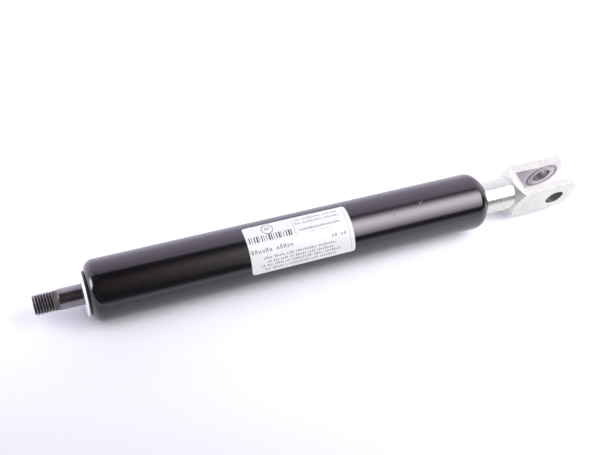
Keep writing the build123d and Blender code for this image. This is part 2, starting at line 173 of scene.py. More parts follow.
class Shader(Nodes):
    """A material's node tree, with its Principled shader ready.

    A noise's scale is in cycles per metre, its detail in octaves, and its values run from 0 to 1.
    """

    def __init__(self, name, values):
        self.material = bpy.data.materials.new(name)
        self.material.use_nodes = True
        super().__init__(self.material.node_tree)
        self.bsdf = next(n for n in self.tree.nodes if n.type == "BSDF_PRINCIPLED")
        for socket, value in values.items():
            self.bsdf.inputs[socket].default_value = value
        self.place = self.add("ShaderNodeTexCoord").outputs["Object"]

    def noise(self, scale, detail, distortion=0.0, place=None):
        node = self.add("ShaderNodeTexNoise")
        self.link(self.place if place is None else place, node.inputs["Vector"])
        node.inputs["Scale"].default_value = scale
        node.inputs["Detail"].default_value = detail
        node.inputs["Distortion"].default_value = distortion
        return node.outputs["Fac"]

    def grain(self, scales, detail):
        """A noise with its own scale along X, Y and Z."""
        node = self.add("ShaderNodeVectorMath", operation="MULTIPLY")
        self.link(self.place, node.inputs[0])
        node.inputs[1].default_value = scales
        return self.noise(1.0, detail, place=node.outputs[0])

    def wander(self, noise, low, high):
        """A number that wanders from low to high as a noise does."""
        return self.spread(noise, NOISE_LOW, NOISE_HIGH, low, high)

    def xyz(self):
        """The object's coordinates, in metres."""
        return self.parts(self.place)

    def away_from(self, point):
        """Distance from a point, in metres."""
        node = self.add("ShaderNodeVectorMath", operation="DISTANCE")
        self.link(self.place, node.inputs[0])
        node.inputs[1].default_value = point
        return node.outputs["Value"]

    def hypotenuse(self, a, b):
        """Length of the diagonal across two sides."""
        return self.maths("SQRT", self.maths("ADD", self.times(a, a), self.times(b, b)))

    def bump(self, height, depth):
        """A height of 0 to 1 that stands depth metres proud, on top of the bumps before it."""
        node = self.add("ShaderNodeBump")
        self.link(height, node.inputs["Height"])
        node.inputs["Distance"].default_value = depth
        normal = self.bsdf.inputs["Normal"]
        if normal.is_linked:
            self.link(normal.links[0].from_socket, node.inputs["Normal"])
        self.link(node.outputs[0], normal)

    def colour(self, source):
        self.link(source, self.bsdf.inputs["Base Color"])

    def roughness(self, source):
        self.link(source, self.bsdf.inputs["Roughness"])

    def mottled(self, scale, detail, dark, light):
        """A base colour that wanders from dark to light."""
        self.colour(self.mix(self.noise(scale, detail), dark, light))

    def soiled(self, scale, start, share, clean, dirty):
        """A clean base colour with dirtier patches, where a noise is over start."""
        patches = self.spread(self.noise(scale, SOIL_DETAIL), start, SOIL_FULL)
        self.colour(self.mix(self.times(patches, share), clean, dirty))

    def uneven(self, scale, detail, low, high):
        """A roughness that wanders from low to high."""
        self.roughness(self.wander(self.noise(scale, detail), low, high))


def grey(value):
    return (value, value, value, 1.0)


# ------------------------------------------------------------------ materials


def on_tube(x, angle):
    """A point on the tube's skin: station in metres, degrees from +Y towards +Z."""
    return (x, TUBE_RADIUS * cos(radians(angle)), TUBE_RADIUS * sin(radians(angle)))


PAINT_IOR = 1.7
PAINT_TINT = (0.97, 0.91, 1.0, 1)
PAINT_ROUGHNESS = 0.085
HAZE_ROUGHNESS = 0.05
HAIRLINE_ROUGHNESS = 0.12
HAIRLINE_NOISE = (0.68, 0.76)
PATCH_NOISE = (0.4, 0.72)
DRAWN_DEPTH = 0.012 * MM
PEEL_DEPTH = 0.0011 * MM
ENAMEL = (0.0045, 0.0042, 0.005, 1)
DUST = (0.09, 0.085, 0.08, 1)
DUST_SHARE = 0.5
DUST_NOISE = (0.71, 0.78)

# Each nick: its middle and its size.  Its edge wavers between an inner and an outer share of that size.
PAINT_NICKS = (
    (on_tube(-0.0995, 109.5), 0.75 * MM),
    (on_tube(-0.0837, 98.3), 0.9 * MM),
    (on_tube(-0.0826, 96.0), 0.45 * MM),
    (on_tube(-0.0992, 113.0), 0.35 * MM),
)
NICK_COLOUR = (0.16, 0.15, 0.14, 1)
NICK_SHARE = 0.85
NICK_ROUGHNESS = 0.35
NICK_DEPTH = 0.05 * MM
NICK_RAGGED = 1.6
NICK_INNER = 1.15
NICK_OUTER = 1.35


def paint_nicks(s):
    """1 inside the paint's nicks."""
    nick = 0.0
    for point, size in PAINT_NICKS:
        ragged = s.times_plus(s.noise(1500, detail=3.0), size * NICK_RAGGED, s.away_from(point))
        nick = s.maths("MAXIMUM", nick, s.below(ragged, size * NICK_INNER, size * NICK_OUTER))
    return nick


def gloss_paint():
    """Black stove enamel: a little orange peel, drawn-tube waviness, hairlines, dust and a few nicks."""
    s = Shader("black_gloss_paint", {"IOR": PAINT_IOR, "Specular Tint": PAINT_TINT})
    nick = paint_nicks(s)
    s.bump(s.grain((25, 260, 260), detail=2.0), DRAWN_DEPTH)
    s.bump(s.noise(700, detail=2.0), PEEL_DEPTH)
    s.bump(s.maths("SUBTRACT", 1.0, nick), NICK_DEPTH)
    hairlines = s.spread(s.grain((90, 3500, 3500), detail=1.0), *HAIRLINE_NOISE)
    patches = s.spread(s.noise(28, detail=4.0), *PATCH_NOISE)
    dust = s.spread(s.noise(2600, detail=1.0), *DUST_NOISE)
    haze = s.times(patches, HAZE_ROUGHNESS)
    marks = s.times_plus(s.times(hairlines, patches), HAIRLINE_ROUGHNESS, haze)
    s.roughness(s.times_plus(nick, NICK_ROUGHNESS, s.maths("ADD", marks, PAINT_ROUGHNESS)))
    dusty = s.mix(s.times(dust, DUST_SHARE), ENAMEL, DUST)
    s.colour(s.mix(s.times(nick, NICK_SHARE), dusty, NICK_COLOUR))
    return s.material


def end_paint():
    """The end plug's dark face."""
    s = Shader("black_steel", {"IOR": PAINT_IOR})
    s.mottled(900, detail=4.0, dark=(0.006, 0.006, 0.007, 1), light=(0.02, 0.019, 0.021, 1))
    s.uneven(1200, detail=3.0, low=0.22, high=0.4)
    s.bump(s.noise(2500, detail=2.0), 0.004 * MM)
    return s.material


def printed_film():
    """Satin white film with a faint tooth and slightly soiled patches."""
    s = Shader("white_film", {"IOR": 1.46})
    s.soiled(160, start=0.45, share=0.35, clean=(0.632, 0.64, 0.648, 1), dirty=(0.56, 0.56, 0.57, 1))
    s.uneven(900, detail=3.0, low=0.3, high=0.4)
    s.bump(s.noise(5200, detail=2.0), 0.0012 * MM)
    s.bump(s.noise(110, detail=2.0), 0.02 * MM)
    return s.material


INK_COLOUR = (0.03, 0.03, 0.033, 1)
THIN_INK_COLOUR = (0.14, 0.14, 0.145, 1)
THIN_INK_NOISE = (0.45, 0.75)


def printed_ink():
    """Thermal print: dark, with thin spots."""
    s = Shader("label_ink", {"Roughness": 0.5})
    thin = s.spread(s.noise(5200, detail=2.0), *THIN_INK_NOISE)
    s.colour(s.mix(thin, INK_COLOUR, THIN_INK_COLOUR))
    return s.material


ZINC_DULL = (0.58, 0.585, 0.545, 1)
ZINC_BRIGHT = (0.655, 0.66, 0.612, 1)
# Painted light and shade on the plating: the cone is painted lighter and the neck darker, for the light
# each catches.
CONE_PAINTED_LIGHT = (0.66, 0.69, 0.64, 1)
NECK_PAINTED_SHADE = (0.565, 0.585, 0.53, 1)
# Painted light and shade in the slot: a lilac colour for the cheeks, a darker land round the bore, and a
# dark ring painted where a groove's shade falls.
CHEEK_PAINTED_LIGHT = (0.69, 0.645, 0.665, 1)
LAND_PAINTED_SHADE = (0.5, 0.465, 0.48, 1)
GROOVE_PAINTED_SHADE = (0.29, 0.27, 0.285, 1)
# Painted shade inside the cross bore.
BORE_PAINTED_SHADE = (0.26, 0.25, 0.25, 1)
SPANGLE_NOISE = (0.35, 0.7)
NECK_EDGE = 0.05 * MM
CONE_EDGE = 0.1 * MM
CHEEK_FROM = SLOT_HALF + 0.3 * MM
CHEEK_TO = SLOT_HALF + 0.35 * MM
CHEEK_FACING = (0.85, 0.95)
LAND_EDGE = 0.3 * MM
GROOVE_EDGE = 0.2 * MM
BORE_FROM = BORE_RADIUS + 0.02 * MM
BORE_TO = BORE_RADIUS + 0.15 * MM
MILL_CENTRE = (0.05, 0.0, 0.14)
MILL_ARCS = 2600
FORK_MARK_DEPTH = 0.001 * MM
FORK_WAVE_DEPTH = 0.006 * MM
FORK_ROUGHNESS = (0.42, 0.52)
SPANGLE_ROUGHER = -0.08
CONE_ROUGHER = 0.12
NECK_ROUGHER = -0.28


def fork_marks(s, neck):
    """The cutter's marks: arcs swept across the flats, and turned rings on the neck."""
    arcs = s.add("ShaderNodeTexNoise", noise_dimensions="1D")
    s.link(s.times(s.away_from(MILL_CENTRE), MILL_ARCS), arcs.inputs["W"])
    arcs.inputs["Detail"].default_value = 2.0
    marks = s.add("ShaderNodeMix", data_type="FLOAT")
    s.link(neck, marks.inputs[0])
    s.link(arcs.outputs["Fac"], marks.inputs[2])
    s.link(s.grain((9000, 25, 25), detail=2.0), marks.inputs[3])
    return marks.outputs[0]


def slot_cheeks(s, y):
    """1 on the slot's two flat cheeks."""
    _, facing, _ = s.parts(s.add("ShaderNodeTexCoord").outputs["Normal"])
    within = s.below(s.maths("ABSOLUTE", y), CHEEK_FROM, CHEEK_TO)
    return s.times(within, s.spread(s.maths("ABSOLUTE", facing), *CHEEK_FACING))


def bright_metal():
    """Zinc-plated fork: turned neck and cone, milled arcs on the flats, spangle, painted light on the cone,
    painted shade on the neck, and painted light and shade in the slot and bore.
    """
    s = Shader("bright_metal", {"Metallic": 1.0})
    x, y, z = s.xyz()
    neck = s.below(x, NECK_START - NECK_EDGE, NECK_START)
    cone = s.below(x, CONE_START - CONE_EDGE, CONE_START)
    marks = fork_marks(s, neck)
    s.bump(marks, FORK_MARK_DEPTH)
    s.bump(s.noise(420, detail=3.0), FORK_WAVE_DEPTH)
    spangle = s.spread(s.noise(330, detail=5.0, distortion=0.6), *SPANGLE_NOISE)
    plated = s.mix(spangle, ZINC_DULL, ZINC_BRIGHT)
    # Painted light on the cone and painted shade on the neck, over the plating.
    turned = s.mix(neck, s.mix(cone, plated, CONE_PAINTED_LIGHT), NECK_PAINTED_SHADE)
    from_bore = s.hypotenuse(x, z)
    land = s.below(from_bore, SPOT_INNER - LAND_EDGE, SPOT_INNER)
    past_land = s.spread(from_bore, SPOT_INNER - GROOVE_EDGE, SPOT_INNER + GROOVE_EDGE)
    groove = s.times(past_land, s.below(from_bore, SPOT_OUTER, SPOT_OUTER + 2 * GROOVE_EDGE))
    cheek = slot_cheeks(s, y)
    # Painted light and shade on the slot's cheeks, their land and the shaded groove ring.
    milled = s.mix(cheek, turned, CHEEK_PAINTED_LIGHT)
    faced = s.mix(s.times(cheek, land), milled, LAND_PAINTED_SHADE)
    grooved = s.mix(s.times(cheek, groove), faced, GROOVE_PAINTED_SHADE)
    # Painted shade darkens the cross bore.
    s.colour(s.mix(s.below(from_bore, BORE_FROM, BORE_TO), grooved, BORE_PAINTED_SHADE))
    flats = s.times_plus(spangle, SPANGLE_ROUGHER, s.wander(marks, *FORK_ROUGHNESS))
    s.roughness(s.times_plus(cone, CONE_ROUGHER, s.times_plus(neck, NECK_ROUGHER, flats)))
    return s.material


NITRIDE_DARK = (0.2, 0.185, 0.2, 1)
NITRIDE_PALE = (0.26, 0.24, 0.26, 1)
NITRIDE_NOISE = (0.35, 0.7)
ROD_ROUGHNESS = (0.12, 0.17)
GRINDING_DEPTH = 0.0006 * MM
STEP_EDGE = 0.05 * MM
CREST_FROM = ROD_RADIUS - 0.28 * MM
CREST_TO = ROD_RADIUS - 0.07 * MM
CREST_COLOUR = (0.5, 0.48, 0.46, 1)
CREST_SHARE = 0.75
WEAR_NOISE = (0.3, 0.62)
ROOT_FROM = ROD_RADIUS - 0.7 * MM
ROOT_TO = ROD_RADIUS - 0.25 * MM
# Painted shade in the thread's roots.
ROOT_PAINTED_SHADE = (0.03, 0.026, 0.026, 1)
ROOT_SHARE = 0.85
THREAD_ROUGHER = 0.22
RUN_OUT_EDGE = 0.1 * MM
# Painted shade on the run-out, darkened to hold down its highlight.
RUN_OUT_PAINTED_SHADE = (0.15, 0.14, 0.15, 1)
RUN_OUT_ROUGHER = 0.25


def nitrided_steel():
    """Black nitrided rod, ground and polished; its thread has painted shade in the roots and is worn on the
    crests.
    """
    s = Shader("nitrided_steel", {"Metallic": 0.94})
    x, y, z = s.xyz()
    radius = s.hypotenuse(y, z)
    grinding = s.grain((14000, 60, 60), detail=2.0)
    s.bump(grinding, GRINDING_DEPTH)
    dark = s.mix(s.spread(s.noise(260, detail=4.0), *NITRIDE_NOISE), NITRIDE_DARK, NITRIDE_PALE)
    thread = s.below(x, ROD_STEP - STEP_EDGE, ROD_STEP)
    root = s.times(thread, s.below(radius, ROOT_FROM, ROOT_TO))
    crest = s.times(thread, s.spread(radius, CREST_FROM, CREST_TO))
    worn = s.times(crest, s.spread(s.noise(1300, detail=3.0), *WEAR_NOISE))
    run_out = s.times(thread, s.spread(x, THREAD_END, THREAD_END + RUN_OUT_EDGE))
    # Painted shade darkens the thread's roots.
    roots_shaded = s.mix(s.times(root, ROOT_SHARE), dark, ROOT_PAINTED_SHADE)
    crests = s.mix(s.times(worn, CREST_SHARE), roots_shaded, CREST_COLOUR)
    # Painted shade on the run-out.
    s.colour(s.mix(run_out, crests, RUN_OUT_PAINTED_SHADE))
    ground = s.times_plus(thread, THREAD_ROUGHER, s.wander(grinding, *ROD_ROUGHNESS))
    s.roughness(s.times_plus(run_out, RUN_OUT_ROUGHER, ground))
    return s.material


def plain_steel():
    """Turned bright steel."""
    s = Shader("plain_steel", {"Metallic": 1.0})
    s.mottled(500, detail=4.0, dark=(0.45, 0.44, 0.43, 1), light=(0.6, 0.59, 0.58, 1))
    s.uneven(1800, detail=3.0, low=0.22, high=0.38)
    s.bump(s.grain((8000, 80, 80), detail=2.0), 0.002 * MM)
    return s.material


def spring_wire():
    """Drawn spring wire, with a film of oil."""
    s = Shader("spring_wire", {"Metallic": 1.0})
    s.mottled(700, detail=3.0, dark=(0.22, 0.21, 0.2, 1), light=(0.38, 0.37, 0.36, 1))
    s.uneven(1500, detail=2.0, low=0.25, high=0.4)
    return s.material


PORE_COLOUR = (0.1, 0.06, 0.03, 1)
PORE_ROUGHNESS = 0.7
PORE_DEPTH = 0.03 * MM
BRONZE_COLOUR = (0.5, 0.34, 0.17, 1)
BRONZE_ROUGHNESS = 0.42
BRONZE_NOISE = (0.38, 0.5)


def sintered_bronze():
    """Pressed and sintered bronze, with open pores."""
    s = Shader("sintered_bronze", {"Metallic": 1.0})
    solid = s.spread(s.noise(4200, detail=3.0), *BRONZE_NOISE)
    s.colour(s.mix(solid, PORE_COLOUR, BRONZE_COLOUR))
    s.roughness(s.spread(solid, 0.0, 1.0, PORE_ROUGHNESS, BRONZE_ROUGHNESS))
    s.bump(solid, PORE_DEPTH)
    return s.material


def seal_rubber():
    """Moulded nitrile rubber."""
    s = Shader("seal_rubber", {"IOR": 1.5})
    s.mottled(900, detail=4.0, dark=(0.012, 0.012, 0.012, 1), light=(0.028, 0.027, 0.026, 1))
    s.uneven(1500, detail=3.0, low=0.45, high=0.65)
    s.bump(s.noise(3800, detail=2.0), 0.006 * MM)
    return s.material


def guide_plastic():
    """Moulded black polyamide."""
    s = Shader("guide_plastic", {"IOR": 1.52})
    s.mottled(1100, detail=4.0, dark=(0.01, 0.01, 0.01, 1), light=(0.022, 0.022, 0.023, 1))
    s.uneven(1700, detail=3.0, low=0.3, high=0.45)
    s.bump(s.noise(3000, detail=2.0), 0.005 * MM)
    return s.material


def white_ptfe():
    """Skived PTFE."""
    s = Shader("white_ptfe", {"IOR": 1.36})
    s.mottled(600, detail=4.0, dark=(0.78, 0.77, 0.73, 1), light=(0.88, 0.87, 0.84, 1))
    s.uneven(1200, detail=2.0, low=0.4, high=0.55)
    return s.material


def white_plastic():
    """Moulded white acetal, a little soiled."""
    s = Shader("white_plastic", {"IOR": 1.48})
    s.soiled(350, start=0.5, share=0.4, clean=(0.94, 0.94, 0.93, 1), dirty=(0.78, 0.77, 0.75, 1))
    s.uneven(1500, detail=3.0, low=0.3, high=0.42)
    s.bump(s.grain((4000, 300, 300), detail=2.0), 0.002 * MM)
    return s.material


MAKERS = {
    "black_gloss_paint": gloss_paint,
    "white_film": printed_film,
    "bright_metal": bright_metal,
    "black_steel": end_paint,
    "nitrided_steel": nitrided_steel,
    "plain_steel": plain_steel,
    "spring_wire": spring_wire,
    "sintered_bronze": sintered_bronze,
    "seal_rubber": seal_rubber,
    "guide_plastic": guide_plastic,
    "white_ptfe": white_ptfe,
    "white_plastic": white_plastic,
    "label_ink": printed_ink,
}
materials = {slot: make() for slot, make in MAKERS.items()}

for part in frame["record"]["subparts"]:
    for holder in NODES[part["node"]].material_slots:
        holder.material = materials[part["material_slot"]]

# ------------------------------------------------------------------ mesh helpers

CARD_FACE = [(0, 1, 2, 3)]


def mesh_object(name, points, faces, material):
    """A new object in the scene, with one mesh and one material."""
    mesh = bpy.data.meshes.new(name)
    mesh.from_pydata(points, [], faces)
    mesh.materials.append(material)
    made = bpy.data.objects.new(name, mesh)
    bpy.context.scene.collection.objects.link(made)
    return made


def new_piece(name, points, faces, material, sharp_angle):
    """A mesh object, smooth but for its sharp edges."""
    piece = mesh_object(name, points, faces, material)
    mesh = piece.data
    mesh.polygons.foreach_set("use_smooth", [True] * len(mesh.polygons))
    mesh.set_sharp_from_angle(angle=radians(sharp_angle))
    mesh.update()
    return piece


def card_corners(middle, first, second):
    """The corners of a flat card from its middle and its two half sides."""
    return [
        middle - first - second,
        middle + first - second,
        middle + first + second,
        middle - first + second,
    ]


def turned_mesh(rings, turns):
    """Points and faces of a closed turned solid; each ring is a function or a pair giving (x, radius)."""
    points = []
    for ring in rings:
        for j in range(turns):
            angle = tau * j / turns
            x, radius = ring(angle) if callable(ring) else ring
            points.append((x, radius * cos(angle), radius * sin(angle)))
    faces = [tuple(reversed(range(turns)))]
    for i in range(len(rings) - 1):
        a, b = i * turns, (i + 1) * turns
        for j in range(turns):
            k = (j + 1) % turns
            faces.append((a + j, a + k, b + k, b + j))
    last = (len(rings) - 1) * turns
    faces.append(tuple(range(last, last + turns)))
    return points, faces


# ------------------------------------------------------------------ the rod, with its real thread

THREAD_TURNS = 96
ROWS_PER_PITCH = 16
ROD_SHARP_ANGLE = 25


def thread_radius(x, angle):
    """Radius of the M10 thread's flank at a station and an angle."""
    phase = ((x - rod_low.x) / THREAD_PITCH - angle / tau) % 1.0
    flank = (1 - THREAD_CREST - THREAD_ROOT) / 2
    if phase < THREAD_ROOT:
        depth = 1.0
    elif phase < THREAD_ROOT + flank:
        depth = 1 - (phase - THREAD_ROOT) / flank
    elif phase < THREAD_ROOT + flank + THREAD_CREST:
        depth = 0.0
    else:
        depth = (phase - THREAD_ROOT - flank - THREAD_CREST) / flank
    return ROD_RADIUS - THREAD_DEPTH * depth


def thread_row(x):
    """A ring of the thread, cut down by the chamfer at the tip."""
    limit = ROD_RADIUS - TIP_CHAMFER + (x - rod_low.x)
    return lambda angle: (x, min(limit, thread_radius(x, angle)))


def run_out_rings():
    """The turned ridges between the thread and the ground rod."""
    rings = []
    for i in range(int(RUN_OUT_LENGTH / RUN_OUT_RING)):
        start = THREAD_END + RUN_OUT_RING * (i + RUN_OUT_INSET)
        rings.append((start, RUN_OUT_RADIUS - RUN_OUT_GROOVE))
        rings.append((start + RUN_OUT_RING / 2, RUN_OUT_RADIUS))
    return rings


def threaded_rod():
    """The whole rod in place of its plain solid, from its threaded tip to the piston's spigot."""
    rows = ceil(THREAD_LENGTH / THREAD_PITCH * ROWS_PER_PITCH)
    rings = [thread_row(rod_low.x + THREAD_LENGTH * i / rows) for i in range(rows + 1)]
    rings += run_out_rings()
    rings += [
        (ROD_STEP, RUN_OUT_RADIUS),
        (ROD_STEP, ROD_RADIUS - STEP_CHAMFER),
        (ROD_STEP + STEP_CHAMFER, ROD_RADIUS),
        (ROD_SHOULDER, ROD_RADIUS),
        (ROD_SHOULDER, SPIGOT_RADIUS),
        (rod_high.x - SPIGOT_CHAMFER, SPIGOT_RADIUS),
        (rod_high.x, SPIGOT_RADIUS - SPIGOT_CHAMFER),
    ]
    points, faces = turned_mesh(rings, THREAD_TURNS)
    rod = new_piece("threaded_rod", points, faces, materials["nitrided_steel"], ROD_SHARP_ANGLE)
    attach(rod, "rod")
    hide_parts("piston_rod")


threaded_rod()

# ------------------------------------------------------------------ the label's print
# Places and sizes of print are in millimetres, along the strut from the label's left edge
# and down its arc from its top.

LABEL_FACE = label_high.z
LABEL_LEFT = label_low.x
LABEL_TOP_ANGLE = acos(label_high.y / LABEL_FACE)
INK_SINK = 0.01 * MM
INK_PROUD = 0.02 * MM
INK_SHARP_ANGLE = 30
ARC_STEP = radians(2.5)
RING_SPANS = 40


def on_label(along, down, radius):
    """A point over the label, at a radius in metres."""
    angle = LABEL_TOP_ANGLE + down * MM / LABEL_FACE
    return (LABEL_LEFT + along * MM, radius * cos(angle), radius * sin(angle))


def ink_tube(sections, closed):
    """Points and faces of a thin solid through sections, each a (low, high) pair of label places."""
    points = []
    for low, high in sections:
        points.append(on_label(*low, LABEL_FACE - INK_SINK))
        points.append(on_label(*high, LABEL_FACE - INK_SINK))
        points.append(on_label(*high, LABEL_FACE + INK_PROUD))
        points.append(on_label(*low, LABEL_FACE + INK_PROUD))
    count = len(sections)
    faces = []
    for i in range(count if closed else count - 1):
        a, b = 4 * i, 4 * ((i + 1) % count)
        for j in range(4):
            k = (j + 1) % 4
            faces.append((a + j, a + k, b + k, b + j))
    if not closed:
        end = 4 * (count - 1)
        faces.insert(0, (3, 2, 1, 0))
        faces.append((end, end + 1, end + 2, end + 3))
    return points, faces


def ink_box(left, top, right, bottom):
    """A closed box wrapped on the label."""
    spans = max(1, ceil((bottom - top) * MM / LABEL_FACE / ARC_STEP))
    heights = [top + (bottom - top) * i / spans for i in range(spans + 1)]
    return ink_tube([((left, height), (right, height)) for height in heights], closed=False)


def ink_ring(middle, outer, stroke):
    """A closed ring wrapped on the label."""
    sections = []
    for i in range(RING_SPANS):
        angle = tau * i / RING_SPANS
        inward = (middle[0] + (outer - stroke) * cos(angle), middle[1] + (outer - stroke) * sin(angle))
        outward = (middle[0] + outer * cos(angle), middle[1] + outer * sin(angle))
        sections.append((inward, outward))
    return ink_tube(sections, closed=True)


def ink_piece(name, shapes):
    """One piece of print from many closed shapes."""
    points, faces = [], []
    for shape_points, shape_faces in shapes:
        start = len(points)
        points += shape_points
        faces += [tuple(start + i for i in face) for face in shape_faces]
    piece = new_piece(name, points, faces, materials["label_ink"], INK_SHARP_ANGLE)
    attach(piece, "cylinder")


STROKE_HEIGHTS = (1.0, 0.7, 0.7, 0.95, 0.7, 0.65, 1.0)
STROKE_GAP = 0.6


def strokes(left, right, middle, height, words, stroke, per_cell=1):
    """Upright strokes in word-like groups, standing for a line of print.

    words gives each group's cells; the strokes in a cell leave STROKE_GAP of their spacing after them.
    """
    pitch = (right - left) / (sum(words) + len(words) - 1)
    bottom = middle + height / 2
    boxes = []
    at = left
    for word in words:
        for cell in range(word):
            tall = height * STROKE_HEIGHTS[(cell + word) % len(STROKE_HEIGHTS)]
            for i in range(per_cell):
                x = at + pitch * (cell + i / (per_cell + STROKE_GAP))
                boxes.append(ink_box(x, bottom - tall, x + stroke, bottom))
        at += pitch * (word + 1)
    return boxes


BAR_LEFT = 1.3
BAR_RIGHT = 23.6
BAR_TOP = 6.7
BAR_BOTTOM = 9.9
BAR_WIDTHS = {"thin": 0.3, "plain": 0.55, "wide": 0.8}
BAR_ORDER = (
    "plain thin plain wide thin plain thin thin wide",
    "plain thin plain wide thin thin plain wide plain",
)


def bar_pattern():
    """Plain upright bars of a few widths."""
    kinds = " ".join(BAR_ORDER).split()
    pitch = (BAR_RIGHT - BAR_LEFT) / len(kinds)
    bars = []
    for i, kind in enumerate(kinds):
        left = BAR_LEFT + pitch * i
        bars.append(ink_box(left, BAR_TOP, left + BAR_WIDTHS[kind], BAR_BOTTOM))
    return bars


EMBLEM_MIDDLE = (11.8, 3.7)
EMBLEM_RADIUS = 2.9
EMBLEM_STROKE = 0.32
EMBLEM_BARS = 2
EMBLEM_BAR_LEFT = 10.4
EMBLEM_BAR_RIGHT = 13.2
EMBLEM_BAR_TOP = 3.0
EMBLEM_BAR_STEP = 0.9
EMBLEM_BAR_STROKE = 0.35


def emblem():
    """A plain ring with two short bars in it, the lower one shorter."""
    shapes = [ink_ring(EMBLEM_MIDDLE, EMBLEM_RADIUS, EMBLEM_STROKE)]
    for i in range(EMBLEM_BARS):
        step = EMBLEM_BAR_STEP * i
        top = EMBLEM_BAR_TOP + step
        shapes.append(ink_box(EMBLEM_BAR_LEFT, top, EMBLEM_BAR_RIGHT - step, top + EMBLEM_BAR_STROKE))
    return shapes


# Each row of print: its left, right, middle and height, its words' cells, and its strokes' width.
LARGE_PRINT = (
    (0.9, 22.6, 14.1, 2.1, (6, 5), 0.34),
    (42.0, 49.9, 14.6, 1.7, (2, 2), 0.3),
)
SMALL_PRINT = (
    (26.4, 48.8, 2.3, 1.1, (3, 10, 8), 0.4),
    (26.1, 49.0, 4.6, 1.1, (3, 10, 8), 0.4),
    (27.1, 48.1, 8.3, 1.1, (22,), 0.42),
    (31.8, 42.4, 10.2, 0.6, (4, 2, 7), 0.16),
    (6.3, 43.5, 17.8, 1.1, (5, 6, 4, 12, 10), 0.38),
    (8.3, 41.9, 19.7, 1.1, (2, 3, 4, 2, 6, 4, 9), 0.38),
    (4.9, 45.7, 21.5, 1.1, (2, 3, 5, 2, 11, 5, 9), 0.38),
    (6.7, 43.2, 23.5, 1.1, (3, 6, 1, 11, 4, 9), 0.38),
)
LARGE_PER_CELL = 2


def label_marks():
    """The larger print: the plain emblem, the bar pattern and two short rows."""
    shapes = emblem() + bar_pattern()
    for row in LARGE_PRINT:
        shapes += strokes(*row, per_cell=LARGE_PER_CELL)
    ink_piece("label_print_bars", shapes)


DASHES = 8
DASH_LEFT = 24.5
DASH_RIGHT = 24.75
DASH_TOP = 2.4
DASH_HEIGHT = 0.6
DASH_PITCH = 1.1
RULE_LEFT = 51.25
RULE_RIGHT = 51.38
RULE_TOP = 0.9
RULE_BOTTOM = 23.7


def label_lines():
    """The small print: rows of fine strokes, an upright dashed line and a thin rule at the right."""
    shapes = []
    for row in SMALL_PRINT:
        shapes += strokes(*row)
    for i in range(DASHES):
        top = DASH_TOP + DASH_PITCH * i
        shapes.append(ink_box(DASH_LEFT, top, DASH_RIGHT, top + DASH_HEIGHT))
    shapes.append(ink_box(RULE_LEFT, RULE_TOP, RULE_RIGHT, RULE_BOTTOM))
    ink_piece("label_print_lines", shapes)


label_marks()
label_lines()

# ------------------------------------------------------------------ studio

ALONG_X = Vector((1, 0, 0))
ALONG_Y = Vector((0, 1, 0))
ALONG_Z = Vector((0, 0, 1))
CARD_UVS = ((0, 0), (1, 0), (1, 1), (0, 1))
EVEN = ((0.0, grey(1.0)),)


def card_ramp(nodes, place, stops):
    """A colour ramp along one side of a card; each stop is a place from 0 to 1 and a colour."""
    ramp = nodes.add("ShaderNodeValToRGB")
    nodes.link(place, ramp.inputs[0])
    elements = ramp.color_ramp.elements
    while len(elements) > len(stops):
        elements.remove(elements[-1])
    while len(elements) < len(stops):
        elements.new(0.5)
    for element, (position, colour) in zip(elements, stops):
        element.position = position
        element.color = colour
    return ramp.outputs[0]


def glowing(name, glow, across, along):
    """An emissive material whose brightness follows a ramp along each side of its card."""
    material = bpy.data.materials.new(name)
    material.use_nodes = True
    material.node_tree.nodes.clear()
    nodes = Nodes(material.node_tree)
    u, v, _ = nodes.parts(nodes.add("ShaderNodeUVMap").outputs[0])
    shade = nodes.mix(1.0, card_ramp(nodes, u, across), card_ramp(nodes, v, along), "MULTIPLY")
    emission = nodes.add("ShaderNodeEmission")
    nodes.link(shade, emission.inputs["Color"])
    nodes.link(glow, emission.inputs["Strength"])
    nodes.link(emission.outputs[0], nodes.add("ShaderNodeOutputMaterial").inputs["Surface"])
    return material


def emitter(name, corners, glow, across=EVEN, along=EVEN, reflected=True):
    """A glowing card that only lights and reflects; across and along shade its first and second sides."""
    card = mesh_object(name, corners, CARD_FACE, glowing(name, glow, across, along))
    for loop, place in zip(card.data.uv_layers.new(name="card").data, CARD_UVS):
        loop.uv = place
    card.visible_camera = False
    card.visible_glossy = reflected


def around_strut(angle):
    """Unit vectors out from the strut's axis and round it, at degrees from +Y towards +Z."""
    turn = radians(angle)
    return Vector((0, cos(turn), sin(turn))), Vector((0, -sin(turn), cos(turn)))


SOFTBOX_DISTANCE = 0.6
SOFTBOX_MIDDLE = 112.0
SOFTBOX_HALF = 40.0
SOFTBOX_LEFT = -0.26
SOFTBOX_RIGHT = 0.66
SOFTBOX_GLOW = 8.3

# Brightness at angles round the strut, and colour at stations along it.
SOFTBOX_ACROSS = (
    (72, 0.02),
    (80, 0.13),
    (87, 0.37),
    (99, 0.88),
    (110, 1.0),
    (123, 0.75),
    (135, 0.47),
    (143, 0.3),
    (151, 0.02),
)
SOFTBOX_ALONG = (
    (SOFTBOX_LEFT, (0.0, 0.0, 0.0, 1)),
    (-0.15, (0.042, 0.036, 0.034, 1)),
    (0.0, (0.13, 0.125, 0.12, 1)),
    (0.04, (0.98, 0.96, 0.96, 1)),
    (SOFTBOX_RIGHT, (1.0, 0.965, 0.97, 1)),
)


